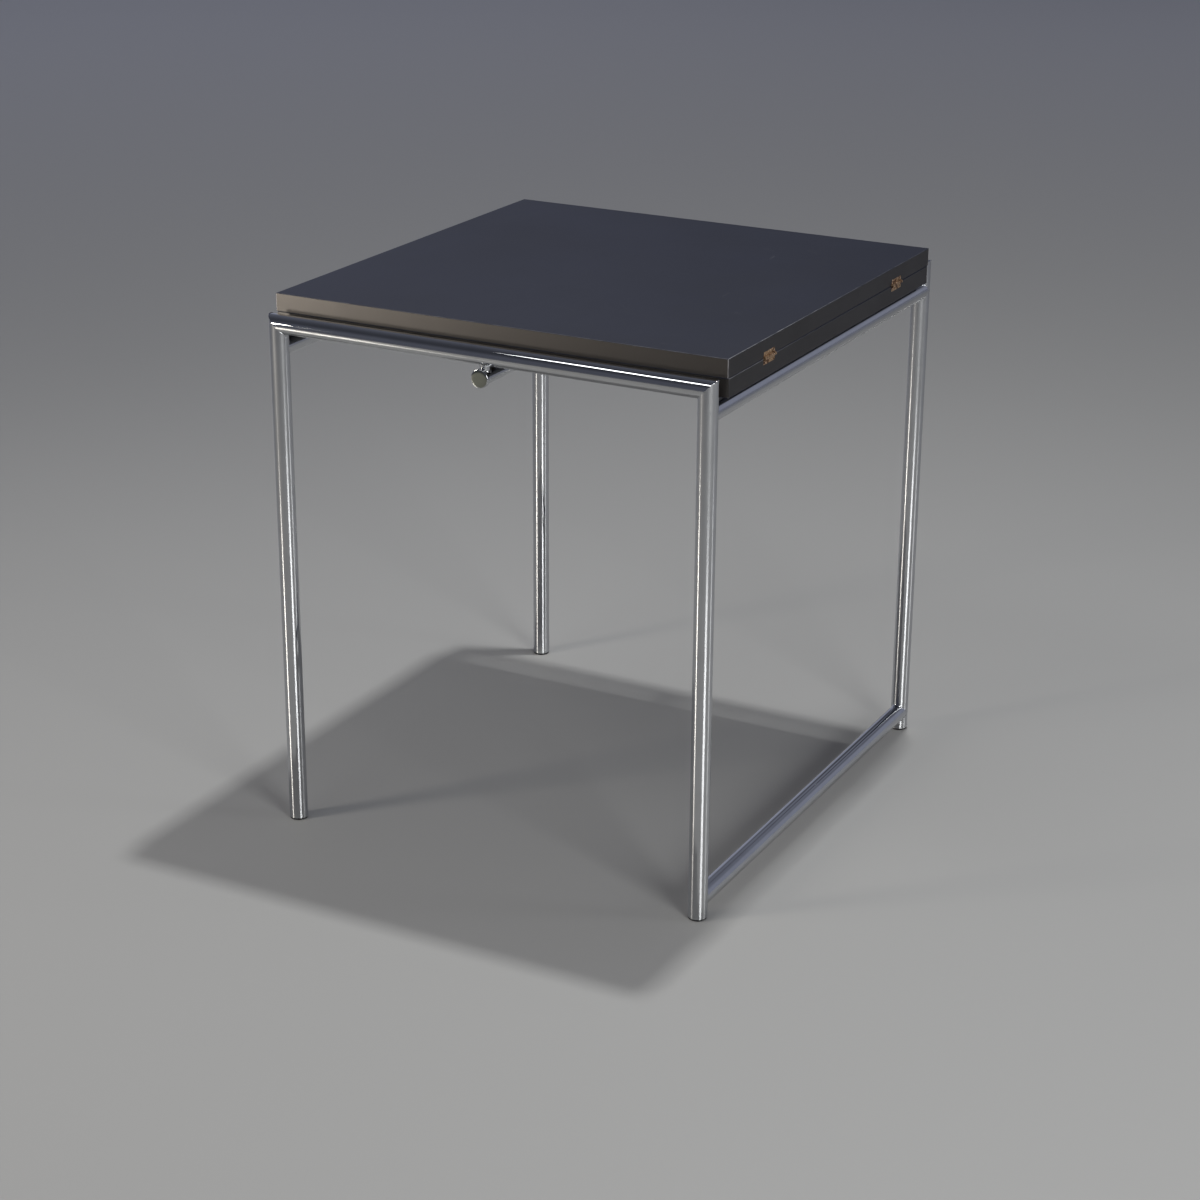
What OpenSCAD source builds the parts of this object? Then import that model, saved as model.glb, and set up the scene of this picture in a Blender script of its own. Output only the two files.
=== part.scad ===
// Flip top side table: a chromed tube frame that carries a double leaf.
// The lower leaf slides sideways between the two top rails, and the upper leaf
// then flips over on two edge hinges, so the open top is twice as long and is
// centred on the frame. A cam shaft under the leaf clamps it where it stands.
//
// X runs to the right along the front rail, Y runs to the back and Z runs up.
// The origin is on the floor, under the middle of the closed top.

/* [Table] */
// Width of one leaf, from its free edge to its hinged edge
leaf_w = 640; // [560:10:760]
// Depth of one leaf, between the front rail and the rear rail
leaf_d = 640; // [560:10:760]
// Height of the closed table, from the floor to the top face
table_h = 730; // [600:5:780]

/* [Leaves] */
// Thickness of one leaf, with both of its faces
leaf_t = 24; // [22:0.5:28]
// Thickness of the laminate on each face
face_t = 0.8; // [0.6:0.1:1.2]
// Thickness of the edge banding
band_t = 1; // [0.6:0.1:1.4]
// Bevel along the outer edge of each laminate
face_bevel = 0.4; // [0.2:0.1:0.5]
// Gap between the leaves, the same when closed and when open
leaf_gap = 0.6; // [0.4:0.1:1]
// How far the lower leaf stands back from the upper one, in front and at the rear
leaf_step = 2.5; // [0:0.5:4]

/* [Frame] */
// Outer diameter of the frame tube
tube_d = 25; // [22:0.5:27]
// Wall of the frame tube
tube_wall = 1.5; // [1.2:0.1:2.5]
// Distance of a leg's axis in from the side edge of the leaf
leg_inset = 16; // [14:0.5:24]
// Gap between the leaf's edge and the front or rear rail
rail_gap = 6.5; // [5:0.5:10]
// Height of the top rails above the upper face of the lower leaf
rail_rise = 3; // [1:0.5:5]
// Clear height under the floor bar
bar_lift = 14; // [8:1:60]

/* [Glides] */
// Diameter of a glide's foot
glide_d = 24; // [20:0.5:25]
// Height of a glide's foot
glide_h = 3; // [2:0.5:8]
// Length of the plug inside the leg
glide_plug = 15; // [10:1:30]
// Bevel around the glide's foot and around its plug
glide_bevel = 1; // [0.4:0.1:1.6]

/* [Slide] */
// Thickness of a slide strip over the top of its tube
strip_t = 3; // [2:0.5:5]
// Width of a slide strip
strip_w = 8; // [6:0.5:12]
// Diameter of a guide stud's head
stud_d = 5; // [4:0.5:6]
// Diameter of a guide stud's shank inside the leaf
stud_shank_d = 4; // [3:0.5:4]
// Length of a guide stud's shank inside the leaf
stud_shank_l = 16; // [10:1:30]
// Bevel around the end of a guide stud
stud_bevel = 0.4; // [0.2:0.1:0.8]
// How far a guide stud reaches in under its rail
stud_hook = 1.5; // [1:0.1:2.5]

/* [Hinges] */
// Length of a hinge along the edge
hinge_l = 32; // [26:1:50]
// Reach of a hinge plate from the hinge line
hinge_h = 8; // [7:0.5:10]
// Thickness of a hinge plate
hinge_t = 1.5; // [1.2:0.1:2]
// Diameter of the knuckles
knuckle_d = 5; // [4.4:0.2:5.6]
// Diameter of the hinge pin
hinge_pin_d = 2.4; // [1.8:0.1:2.8]
// Distance between the middles of the two hinges
hinge_spread = 408; // [200:4:480]
// Diameter of a hinge screw's head
screw_head_d = 4; // [3.4:0.2:4.4]
// Diameter of a hinge screw's shank
screw_d = 2.2; // [1.6:0.1:2.4]
// Length of a hinge screw
screw_l = 14; // [8:1:20]

/* [Lock] */
// Outer diameter of the lock tube
lock_tube_d = 20; // [18:0.5:22]
// Wall of the lock tube
lock_tube_wall = 1.5; // [1.2:0.1:2]
// Gap between the lock tube and the underside of the leaf
lock_drop = 2.5; // [1.5:0.5:4]
// Diameter of the posts that hang the lock tube from the rails
hanger_d = 13; // [6:0.5:14]
// Diameter of the cam shaft
shaft_d = 12; // [9:0.5:13]
// Diameter of the knob
knob_d = 24; // [22:0.5:27]
// Thickness of the knob
knob_t = 6; // [5:0.5:10]
// Bevel around the front of the knob
knob_bevel = 0.8; // [0.4:0.1:1.5]
// How far the knob's face stands out in front of the front rail
knob_proud = 1.5; // [0:0.5:8]
// Length of a bush
bush_l = 14; // [8:1:24]
// Width of a cam along the shaft
cam_w = 14; // [10:1:24]
// Breadth of a cam's finger
cam_finger = 9; // [6:0.5:11]
// Distance of a cam's middle in from the front or rear edge of the leaf
cam_inset = 100; // [60:5:200]
// Diameter of the pin that fixes a cam to the shaft
cam_pin_d = 3; // [2:0.5:4]

/* [Hidden] */
$fn = 64;

// Colours of the finishes
chrome_colour = [0.78, 0.79, 0.80];
laminate_colour = [0.19, 0.20, 0.24];
edging_colour = [0.27, 0.25, 0.23];
board_colour = [0.55, 0.44, 0.32];
brass_colour = [0.72, 0.52, 0.30];
black_colour = [0.06, 0.06, 0.06];
nylon_colour = [0.85, 0.84, 0.80];

// Clearances
press_gap = 0.03;       // between two pieces that are pressed or screwed together
running_gap = 0.05;     // around a shaft or pin that turns
slide_gap = 0.2;        // between the leaf and the strips it slides on
stop_gap = 0.3;         // left between a guide stud and the leg that stops it
stud_gap = 0.5;         // between a guide stud and the rail it runs under
cam_gap = 0.3;          // left between a raised cam and the leaf
cam_side_gap = 0.4;     // between a cam and the bore or window around it
knob_gap = 0.3;         // between the knob and the bush behind it
knuckle_gap = 0.2;      // between neighbouring knuckles
mortise_gap = 0.3;      // around the knuckles in the leaf's edge
overrun = 1;            // how far every cut runs past what it cuts

// Heights, worked out from the closed height downwards
tube_r = tube_d / 2;
bore_r = tube_r - tube_wall;
seam_z = table_h - leaf_t - leaf_gap / 2;
lower_top_z = seam_z - leaf_gap / 2;
lower_bottom_z = lower_top_z - leaf_t;
rail_z = lower_top_z + rail_rise - tube_r;
side_rail_z = lower_bottom_z - slide_gap - strip_t - tube_r;
bar_z = bar_lift + tube_r;

// Places of the leg axes, either side of the middle
leg_x = leaf_w / 2 - leg_inset;
leg_y = leaf_d / 2 + rail_gap + tube_r;

// Guide studs: their heads tuck in under the round of the rail, so the leaf can
// neither lift nor rattle, and they meet the legs at both ends of the travel.
lower_leaf_d = leaf_d - 2 * leaf_step;
travel = leaf_w / 2;
stud_r = stud_d / 2;
stud_out = leaf_step + rail_gap + stud_hook;
stud_z = rail_z - sqrt(pow(tube_r + stud_gap, 2) - pow(tube_r - stud_hook, 2)) - stud_r;
stud_stop_x = leg_x - sqrt(pow(tube_r, 2) - pow(tube_r - stud_hook, 2)) - stud_r - stop_gap;

// Hinges: the axis lies in the middle of the gap between the leaves, both ways
hinge_x = leaf_w / 2 + leaf_gap / 2;
knuckle_r = knuckle_d / 2;
hinge_pin_r = hinge_pin_d / 2;
knuckle_count = 5;
knuckle_l = (hinge_l - (knuckle_count - 1) * knuckle_gap) / knuckle_count;
lower_knuckles = [0, 2, 4];
upper_knuckles = [1, 3];
screw_head_depth = 1.1;
screw_slot_w = 0.5;
screw_slot_depth = 0.4;
screw_z = (hinge_h + knuckle_r) / 2;
screw_y_share = 0.25;

// Lock: a cam shaft inside a tube that hangs under the two top rails
lock_tube_r = lock_tube_d / 2;
lock_bore_r = lock_tube_r - lock_tube_wall;
lock_z = lower_bottom_z - lock_drop - lock_tube_r;
shaft_r = shaft_d / 2;
knob_front_y = -(leg_y + tube_r + knob_proud);
knob_back_y = knob_front_y + knob_t;
knob_wall = 1.6;
knob_socket = knob_t - knob_wall;
bush_flange_t = 1;
lock_tube_front_y = knob_back_y + knob_gap + bush_flange_t;
lock_tube_rear_y = -lock_tube_front_y;
plug_flange_t = 2;
plug_l = 12;
shaft_end_l = 3;
shaft_rear_y = lock_tube_rear_y - plug_l - shaft_end_l;
rear_bush_y = shaft_rear_y - shaft_end_l - bush_l;
cam_y = leaf_d / 2 - cam_inset;
cam_reach = lock_tube_r + lock_drop - cam_gap;
cam_hub_r = lock_bore_r - cam_side_gap;
cam_pin_l = 2 * cam_hub_r - 2 * press_gap;

mitre = 45;
cut = 4 * tube_d;

// Carriers that put a shape into place

module along_x() {
    rotate([0, 90, 0]) children();
}

module along_y() {
    rotate([-90, 0, 0]) children();
}

// Leaf shapes are drawn under the seam; the upper leaf is their mirror image
module in_lower_leaf() {
    translate([0, 0, seam_z]) children();
}

module in_upper_leaf() {
    translate([0, 0, seam_z]) mirror([0, 0, 1]) children();
}

module at_hinges() {
    for (side = [-1, 1]) {
        translate([hinge_x, side * hinge_spread / 2, 0]) children();
    }
}

// Frame tubes

module hollow(r, wall, l) {
    difference() {
        cylinder(r = r, h = l, center = true);
        cylinder(r = r - wall, h = l + 2 * overrun, center = true);
    }
}

// Half space on one side of a mitre: up = 1 is above it, up = -1 is below it
module mitre_cut(side, up) {
    rotate([0, -side * mitre, 0]) translate([0, 0, up * cut / 2]) cube(cut, center = true);
}

module leg(side, end) {
    top = rail_z + tube_r + overrun;
    translate([side * leg_x, end * leg_y, 0]) difference() {
        translate([0, 0, (glide_h + top) / 2]) hollow(tube_r, tube_wall, top - glide_h);
        translate([0, 0, rail_z]) mitre_cut(side, 1);
    }
}

module top_rail(end) {
    l = 2 * (leg_x + tube_r + overrun);
    translate([0, end * leg_y, rail_z]) difference() {
        along_x() hollow(tube_r, tube_wall, l);
        for (side = [-1, 1]) {
            translate([side * leg_x, 0, 0]) mitre_cut(side, -1);
        }
    }
}

// A tube between a front leg and a rear leg, with its ends coped to them
module cross_tube(side, z) {
    translate([side * leg_x, 0, z]) difference() {
        along_y() hollow(tube_r, tube_wall, 2 * leg_y);
        for (end = [-1, 1]) {
            translate([0, end * leg_y, 0]) cylinder(r = tube_r, h = cut, center = true);
        }
    }
}

module glide(side, end) {
    foot_r = glide_d / 2;
    plug_r = bore_r - press_gap;
    translate([side * leg_x, end * leg_y, 0]) rotate_extrude() polygon([
        [0, 0],
        [foot_r - glide_bevel, 0],
        [foot_r, glide_bevel],
        [foot_r, glide_h],
        [plug_r, glide_h],
        [plug_r, glide_h + glide_plug - glide_bevel],
        [plug_r - glide_bevel, glide_h + glide_plug],
        [0, glide_h + glide_plug]]);
}

// A strip whose underside follows the round of the side rail
module slide_strip(side) {
    h = tube_r + strip_t;
    translate([side * leg_x, 0, side_rail_z]) difference() {
        translate([-strip_w / 2, -leaf_d / 2, 0]) cube([strip_w, leaf_d, h]);
        along_y() cylinder(r = tube_r, h = leaf_d + 2 * overrun, center = true);
    }
}

// Leaves, drawn under the seam with the hinged edge on the right

module board(w, d, top, t) {
    translate([-w / 2, -d / 2, top - t]) cube([w, d, t]);
}

// Room in the hinged edge for a hinge's plate and for its knuckles
module hinge_mortises() {
    l = hinge_l + 2 * mortise_gap;
    at_hinges() {
        translate([-leaf_gap / 2 - hinge_t, -l / 2, -hinge_h])
            cube([hinge_t + leaf_gap + overrun, l, hinge_h + overrun]);
        along_y() cylinder(r = knuckle_r + mortise_gap, h = l, center = true);
    }
}

module at_screws() {
    at_hinges() {
        for (k = [-1, 1]) {
            translate([-leaf_gap / 2, k * hinge_l * screw_y_share, -screw_z]) rotate([0, -90, 0])
                children();
        }
    }
}

// A countersunk screw along +Z with its head at the origin; fit widens it to a hole
module screw(fit) {
    head_r = screw_head_d / 2 + fit;
    r = screw_d / 2 + fit;
    rotate_extrude() polygon([
        [0, 0], [head_r, 0], [r, screw_head_depth], [r, screw_l + fit], [0, screw_l + fit]]);
}

// A guide stud along +Z from the leaf's edge: a bevelled head outside, a shank inside
module stud(fit) {
    head_r = stud_r + fit;
    shank_r = stud_shank_d / 2 + fit;
    rotate_extrude() polygon([
        [0, -stud_shank_l - fit],
        [shank_r, -stud_shank_l - fit],
        [shank_r, 0],
        [head_r, 0],
        [head_r, stud_out - stud_bevel],
        [head_r - stud_bevel, stud_out],
        [0, stud_out]]);
}

module at_studs() {
    for (end = [-1, 1]) {
        for (x = [stud_stop_x, travel - stud_stop_x]) {
            translate([x, end * lower_leaf_d / 2, stud_z - seam_z]) rotate([-end * 90, 0, 0])
                children();
        }
    }
}

module leaf_core(d) {
    difference() {
        board(leaf_w - 2 * band_t, d - 2 * band_t, -leaf_gap / 2 - face_t, leaf_t - 2 * face_t);
        hinge_mortises();
        at_screws() screw(press_gap);
    }
}

// One laminate, bevelled along the edge that shows; out = 1 faces the seam
module leaf_face(d, out) {
    z = out > 0 ? -leaf_gap / 2 - face_t : -leaf_gap / 2 - leaf_t + face_t;
    difference() {
        translate([0, 0, z]) mirror([0, 0, out > 0 ? 0 : 1]) intersection() {
            along_y() linear_extrude(d, center = true) bevelled(leaf_w);
            rotate([0, 0, 90]) along_y() linear_extrude(leaf_w, center = true) bevelled(d);
        }
        hinge_mortises();
    }
}

module bevelled(w) {
    polygon([
        [-w / 2, 0],
        [w / 2, 0],
        [w / 2, -face_t + face_bevel],
        [w / 2 - face_bevel, -face_t],
        [-w / 2 + face_bevel, -face_t],
        [-w / 2, -face_t + face_bevel]]);
}

// Four strips of edge banding; the front and rear ones cover the ends of the others
module leaf_edging(d) {
    h = leaf_t - 2 * face_t;
    top = -leaf_gap / 2 - face_t;
    difference() {
        union() {
            for (end = [-1, 1]) {
                translate([0, end * (d - band_t) / 2, 0]) board(leaf_w, band_t, top, h);
                translate([end * (leaf_w - band_t) / 2, 0, 0])
                    board(band_t, d - 2 * band_t, top, h);
            }
        }
        hinge_mortises();
    }
}

// Hinges, drawn on their own axis with the plate hanging down in the lower leaf

module knuckle(k, r) {
    y = -hinge_l / 2 + k * (knuckle_l + knuckle_gap) + knuckle_l / 2;
    l = r > knuckle_r ? knuckle_l + 2 * knuckle_gap : knuckle_l;
    translate([0, y, 0]) along_y() cylinder(r = r, h = l, center = true);
}

module hinge_plate(own, other) {
    difference() {
        union() {
            translate([-leaf_gap / 2 - hinge_t, -hinge_l / 2, -hinge_h])
                cube([hinge_t, hinge_l, hinge_h - leaf_gap / 2]);
            for (k = own) {
                knuckle(k, knuckle_r);
            }
        }
        for (k = other) {
            knuckle(k, knuckle_r + knuckle_gap);
        }
        along_y() cylinder(r = hinge_pin_r + running_gap, h = hinge_l + 2 * overrun, center = true);
        for (k = [-1, 1]) {
            translate([-leaf_gap / 2, k * hinge_l * screw_y_share, -screw_z]) rotate([0, -90, 0])
                screw(press_gap);
        }
    }
}

module hinge_pin(end) {
    translate([hinge_x, end * hinge_spread / 2, 0])
        along_y() cylinder(r = hinge_pin_r, h = hinge_l, center = true);
}

module hinge_screws() {
    at_screws() difference() {
        screw(0);
        cube([screw_head_d + overrun, screw_slot_w, 2 * screw_slot_depth], center = true);
    }
}

// Lock, drawn with its shaft along Y through the origin

module lock_window() {
    l = cam_w + 2 * cam_side_gap;
    side = cam_finger / 2 + cam_side_gap;
    reach = lock_tube_r + overrun;
    translate([-reach, -l / 2, -side]) cube([reach + side, l, side + reach]);
}

module lock_hanger(end) {
    translate([0, end * leg_y, 0]) difference() {
        translate([0, 0, lock_z]) cylinder(d = hanger_d, h = rail_z - lock_z);
        translate([0, 0, rail_z]) along_x() cylinder(r = tube_r, h = cut, center = true);
        translate([0, 0, lock_z]) along_y() cylinder(r = lock_tube_r, h = cut, center = true);
    }
}

// A bush from y = 0 backwards; flange is the radius of its front flange, or 0
module bush(flange) {
    outer = lock_bore_r - press_gap;
    inner = shaft_r + running_gap;
    along_y() difference() {
        union() {
            cylinder(r = outer, h = bush_l);
            if (flange > 0) {
                translate([0, 0, -bush_flange_t]) cylinder(r = flange, h = bush_flange_t);
            }
        }
        translate([0, 0, -bush_flange_t - overrun])
            cylinder(r = inner, h = bush_l + bush_flange_t + 2 * overrun);
    }
}

// A cam: a hub that fills the tube's bore and a finger, at rest towards -X
module cam() {
    tip_r = cam_finger / 2;
    difference() {
        along_y() linear_extrude(cam_w, center = true) difference() {
            union() {
                circle(r = cam_hub_r);
                translate([-cam_reach + tip_r, -tip_r]) square([cam_reach - tip_r, cam_finger]);
                translate([-cam_reach + tip_r, 0]) circle(r = tip_r);
            }
            circle(r = shaft_r + press_gap);
        }
        cylinder(r = cam_pin_d / 2 + press_gap, h = cut, center = true);
    }
}

// Sub-parts of the frame

module leg_front_left() {
    color(chrome_colour) leg(-1, -1);
}

module leg_front_right() {
    color(chrome_colour) leg(1, -1);
}

module leg_rear_left() {
    color(chrome_colour) leg(-1, 1);
}

module leg_rear_right() {
    color(chrome_colour) leg(1, 1);
}

module top_rail_front() {
    color(chrome_colour) top_rail(-1);
}

module top_rail_rear() {
    color(chrome_colour) top_rail(1);
}

module side_rail_left() {
    color(chrome_colour) cross_tube(-1, side_rail_z);
}

module side_rail_right() {
    color(chrome_colour) cross_tube(1, side_rail_z);
}

module floor_bar() {
    color(chrome_colour) cross_tube(1, bar_z);
}

module glide_front_left() {
    color(black_colour) glide(-1, -1);
}

module glide_front_right() {
    color(black_colour) glide(1, -1);
}

module glide_rear_left() {
    color(black_colour) glide(-1, 1);
}

module glide_rear_right() {
    color(black_colour) glide(1, 1);
}

module slide_strip_left() {
    color(black_colour) slide_strip(-1);
}

module slide_strip_right() {
    color(black_colour) slide_strip(1);
}

module lock_tube() {
    l = lock_tube_rear_y - lock_tube_front_y;
    color(chrome_colour) translate([0, 0, lock_z]) difference() {
        along_y() hollow(lock_tube_r, lock_tube_wall, l);
        for (end = [-1, 1]) {
            translate([0, end * cam_y, 0]) lock_window();
        }
    }
}

module lock_hanger_front() {
    color(chrome_colour) lock_hanger(-1);
}

module lock_hanger_rear() {
    color(chrome_colour) lock_hanger(1);
}

module lock_bush_front() {
    color(nylon_colour) translate([0, lock_tube_front_y, lock_z]) bush(lock_tube_r);
}

module lock_bush_rear() {
    color(nylon_colour) translate([0, rear_bush_y, lock_z]) bush(0);
}

module lock_tube_plug() {
    color(black_colour) translate([0, lock_tube_rear_y, lock_z]) along_y() union() {
        cylinder(r = lock_tube_r, h = plug_flange_t);
        translate([0, 0, -plug_l]) cylinder(r = lock_bore_r - press_gap, h = plug_l);
    }
}

// Sub-parts of the lower leaf

module lower_leaf_core() {
    color(board_colour) in_lower_leaf() difference() {
        leaf_core(lower_leaf_d);
        at_studs() stud(press_gap);
    }
}

module lower_leaf_top_face() {
    color(laminate_colour) in_lower_leaf() leaf_face(lower_leaf_d, 1);
}

module lower_leaf_bottom_face() {
    color(laminate_colour) in_lower_leaf() leaf_face(lower_leaf_d, -1);
}

module lower_leaf_edging() {
    color(edging_colour) in_lower_leaf() difference() {
        leaf_edging(lower_leaf_d);
        at_studs() stud(press_gap);
    }
}

module guide_studs() {
    color(chrome_colour) in_lower_leaf() at_studs() stud(0);
}

module hinge_front_lower_plate() {
    color(brass_colour) in_lower_leaf() translate([hinge_x, -hinge_spread / 2, 0])
        hinge_plate(lower_knuckles, upper_knuckles);
}

module hinge_rear_lower_plate() {
    color(brass_colour) in_lower_leaf() translate([hinge_x, hinge_spread / 2, 0])
        hinge_plate(lower_knuckles, upper_knuckles);
}

module hinge_front_pin() {
    color(brass_colour) in_lower_leaf() hinge_pin(-1);
}

module hinge_rear_pin() {
    color(brass_colour) in_lower_leaf() hinge_pin(1);
}

module hinge_screws_lower() {
    color(brass_colour) in_lower_leaf() hinge_screws();
}

// Sub-parts of the upper leaf

module upper_leaf_core() {
    color(board_colour) in_upper_leaf() leaf_core(leaf_d);
}

module upper_leaf_top_face() {
    color(laminate_colour) in_upper_leaf() leaf_face(leaf_d, -1);
}

module upper_leaf_bottom_face() {
    color(laminate_colour) in_upper_leaf() leaf_face(leaf_d, 1);
}

module upper_leaf_edging() {
    color(edging_colour) in_upper_leaf() leaf_edging(leaf_d);
}

module hinge_front_upper_plate() {
    color(brass_colour) in_upper_leaf() translate([hinge_x, -hinge_spread / 2, 0])
        hinge_plate(upper_knuckles, lower_knuckles);
}

module hinge_rear_upper_plate() {
    color(brass_colour) in_upper_leaf() translate([hinge_x, hinge_spread / 2, 0])
        hinge_plate(upper_knuckles, lower_knuckles);
}

module hinge_screws_upper() {
    color(brass_colour) in_upper_leaf() hinge_screws();
}

// Sub-parts of the lock

module lock_knob() {
    r = knob_d / 2;
    color(chrome_colour) translate([0, knob_front_y, lock_z]) along_y() difference() {
        rotate_extrude() polygon([
            [0, 0], [r - knob_bevel, 0], [r, knob_bevel],
            [r, knob_t - knob_bevel / 2], [r - knob_bevel / 2, knob_t], [0, knob_t]]);
        translate([0, 0, knob_t - knob_socket])
            cylinder(r = shaft_r + press_gap, h = knob_socket + overrun);
    }
}

module lock_shaft() {
    front = knob_back_y - knob_socket + press_gap;
    color(chrome_colour) translate([0, 0, lock_z]) difference() {
        translate([0, front, 0]) along_y() cylinder(r = shaft_r, h = shaft_rear_y - front);
        for (end = [-1, 1]) {
            translate([0, end * cam_y, 0])
                cylinder(r = cam_pin_d / 2 + press_gap, h = cut, center = true);
        }
    }
}

module lock_cam_front() {
    color(nylon_colour) translate([0, -cam_y, lock_z]) cam();
}

module lock_cam_rear() {
    color(nylon_colour) translate([0, cam_y, lock_z]) cam();
}

module lock_cam_pins() {
    color(chrome_colour) {
        for (end = [-1, 1]) {
            translate([0, end * cam_y, lock_z])
                cylinder(d = cam_pin_d, h = cam_pin_l, center = true);
        }
    }
}

leg_front_left();
leg_front_right();
leg_rear_left();
leg_rear_right();
top_rail_front();
top_rail_rear();
side_rail_left();
side_rail_right();
floor_bar();
glide_front_left();
glide_front_right();
glide_rear_left();
glide_rear_right();
slide_strip_left();
slide_strip_right();
lock_tube();
lock_hanger_front();
lock_hanger_rear();
lock_bush_front();
lock_bush_rear();
lock_tube_plug();
lower_leaf_core();
lower_leaf_top_face();
lower_leaf_bottom_face();
lower_leaf_edging();
guide_studs();
hinge_front_lower_plate();
hinge_rear_lower_plate();
hinge_front_pin();
hinge_rear_pin();
hinge_screws_lower();
upper_leaf_core();
upper_leaf_top_face();
upper_leaf_bottom_face();
upper_leaf_edging();
hinge_front_upper_plate();
hinge_rear_upper_plate();
hinge_screws_upper();
lock_knob();
lock_shaft();
lock_cam_front();
lock_cam_rear();
lock_cam_pins();
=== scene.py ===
"""Looks of the flip top side table, laid out as a Blender add-on and run as a script.

model.glb holds every solid at its real size and place. The operators here give those solids
their finishes, add the polished welds of the tube frame, turn the knob's fine profile and set a
plain studio round the table. Lengths are in metres, in the row frame: X to the right along the
front rail, Y to the back, Z up, with the origin on the floor under the closed top.
"""

import math

import bpy
import numpy as np
from bpy.props import FloatProperty, FloatVectorProperty, IntProperty, PointerProperty
from mathutils import Matrix, Vector


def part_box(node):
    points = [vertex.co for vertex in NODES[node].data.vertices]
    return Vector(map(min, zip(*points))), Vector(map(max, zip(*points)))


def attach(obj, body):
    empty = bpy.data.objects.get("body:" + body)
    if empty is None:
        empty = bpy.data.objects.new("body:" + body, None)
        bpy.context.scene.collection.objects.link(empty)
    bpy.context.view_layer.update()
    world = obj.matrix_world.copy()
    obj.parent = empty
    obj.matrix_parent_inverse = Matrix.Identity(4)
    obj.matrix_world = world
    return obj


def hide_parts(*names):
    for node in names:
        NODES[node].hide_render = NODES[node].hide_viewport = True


bl_info = {
    "name": "Flip top side table looks",
    "version": (1, 0, 0),
    "blender": (4, 5, 0),
    "location": "3D View > Sidebar > Table",
    "description": "Finishes, welds, knob and studio for the flip top side table",
    "category": "Object",
}

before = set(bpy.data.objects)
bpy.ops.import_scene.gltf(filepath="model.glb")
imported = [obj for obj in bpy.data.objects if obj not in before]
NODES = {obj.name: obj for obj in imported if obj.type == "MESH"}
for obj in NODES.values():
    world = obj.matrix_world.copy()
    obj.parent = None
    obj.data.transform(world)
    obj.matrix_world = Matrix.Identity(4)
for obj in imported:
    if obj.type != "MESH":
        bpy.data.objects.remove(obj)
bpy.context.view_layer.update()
MM = 0.001
FULL_TURN = 2 * math.pi

TUBES = ["leg_front_left", "leg_front_right", "leg_rear_left", "leg_rear_right",
         "top_rail_front", "top_rail_rear", "side_rail_left", "side_rail_right", "floor_bar",
         "lock_tube", "lock_hanger_front", "lock_hanger_rear"]
BLACK_PARTS = ["glide_front_left", "glide_front_right", "glide_rear_left", "glide_rear_right",
               "slide_strip_left", "slide_strip_right", "lock_tube_plug"]
NYLON_PARTS = ["lock_bush_front", "lock_bush_rear", "lock_cam_front", "lock_cam_rear"]
STEEL_PARTS = ["guide_studs", "lock_shaft", "lock_cam_pins"]
CORES = ["lower_leaf_core", "upper_leaf_core"]
FACES = ["lower_leaf_top_face", "lower_leaf_bottom_face",
         "upper_leaf_top_face", "upper_leaf_bottom_face"]
EDGINGS = ["lower_leaf_edging", "upper_leaf_edging"]
BRASS_PARTS = ["hinge_front_lower_plate", "hinge_rear_lower_plate", "hinge_front_pin",
               "hinge_rear_pin", "hinge_screws_lower", "hinge_front_upper_plate",
               "hinge_rear_upper_plate", "hinge_screws_upper"]


# Sizes read from the model

def middle(node):
    """The middle of a node's box."""
    low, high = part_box(node)
    return (low + high) / 2


def span(node):
    """The three side lengths of a node's box."""
    low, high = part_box(node)
    return high - low


LEG_X = middle("leg_front_right").x
LEG_Y = middle("leg_rear_right").y
TUBE_R = span("leg_front_right").x / 2
TOP_RAIL_Z = middle("top_rail_front").z
SIDE_RAIL_Z = middle("side_rail_right").z
FLOOR_BAR_Z = middle("floor_bar").z
LOCK_Z = middle("lock_tube").z
LOCK_TUBE_R = span("lock_tube").z / 2
HANGER_R = span("lock_hanger_front").x / 2
KNOB_R = span("lock_knob").x / 2
LEAF_HALF = span("upper_leaf_top_face").x / 2
TOP_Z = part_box("upper_leaf_top_face")[1].z
SEAM_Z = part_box("lower_leaf_top_face")[1].z


# Fine sizes of the welds and the knob

SKIN_SINK = 0.02 * MM     # how far a mitre's seam lies under the tube's skin
ROOT_SINK = 0.25          # how far a weld's root is sunk, as a share of its reach
RIDGE_END = 0.01 * MM     # radius of a ridge where it has faded out
RIDGE_STEPS = 12          # points round a ridge
BEAD_SWELL = 0.20         # how much of a hanger's bead swells and sinks
BEAD_DRIFT = 0.7          # turn that keeps the bead's two sides from matching
CROWN_POWER = 5           # power of the radius with which the knob's face falls back
FACE_STEPS = 32           # points along the knob's face
RIM_STEPS = 12            # points round the knob's rim
SOCKET_GAP = 0.03 * MM    # between the knob's socket and the shaft

# Where finishes change near an edge: the distances from it at which the change begins and is full

# The next four set the pale line along the leaves' edges, partly wear and partly a painted
# highlight.
SIDE_WEAR_AND_HIGHLIGHT = (0.8 * MM, 0.4 * MM)
END_WEAR_AND_HIGHLIGHT = (0.9 * MM, 0.5 * MM)
TOP_WEAR_AND_HIGHLIGHT = (0.5 * MM, 0.2 * MM)
SEAM_WEAR_AND_HIGHLIGHT = (0.8 * MM, 0.5 * MM)
# The next one sets where the edge banding's front and rear strips are painted lighter than its
# sides: painted light and shade.
END_STRIP = (5 * MM, 4 * MM)
KNOB_FACE_END = (1.4 * MM, 0.6 * MM)

# The pale line on the leaves' edges, which is partly wear and partly a painted highlight: how far
# over the seam it fades, and where along Y it fades on the top edge and at the seam

OVER_SEAM = (0.1 * MM, 0.3 * MM)
TOP_LINE_FADE = (-0.25, 0.15)
SEAM_LINE_FADE = (-0.24, -0.12)

# Roughness of each finish, where it is smoothest and where it is dullest, and what fine marks add

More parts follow.
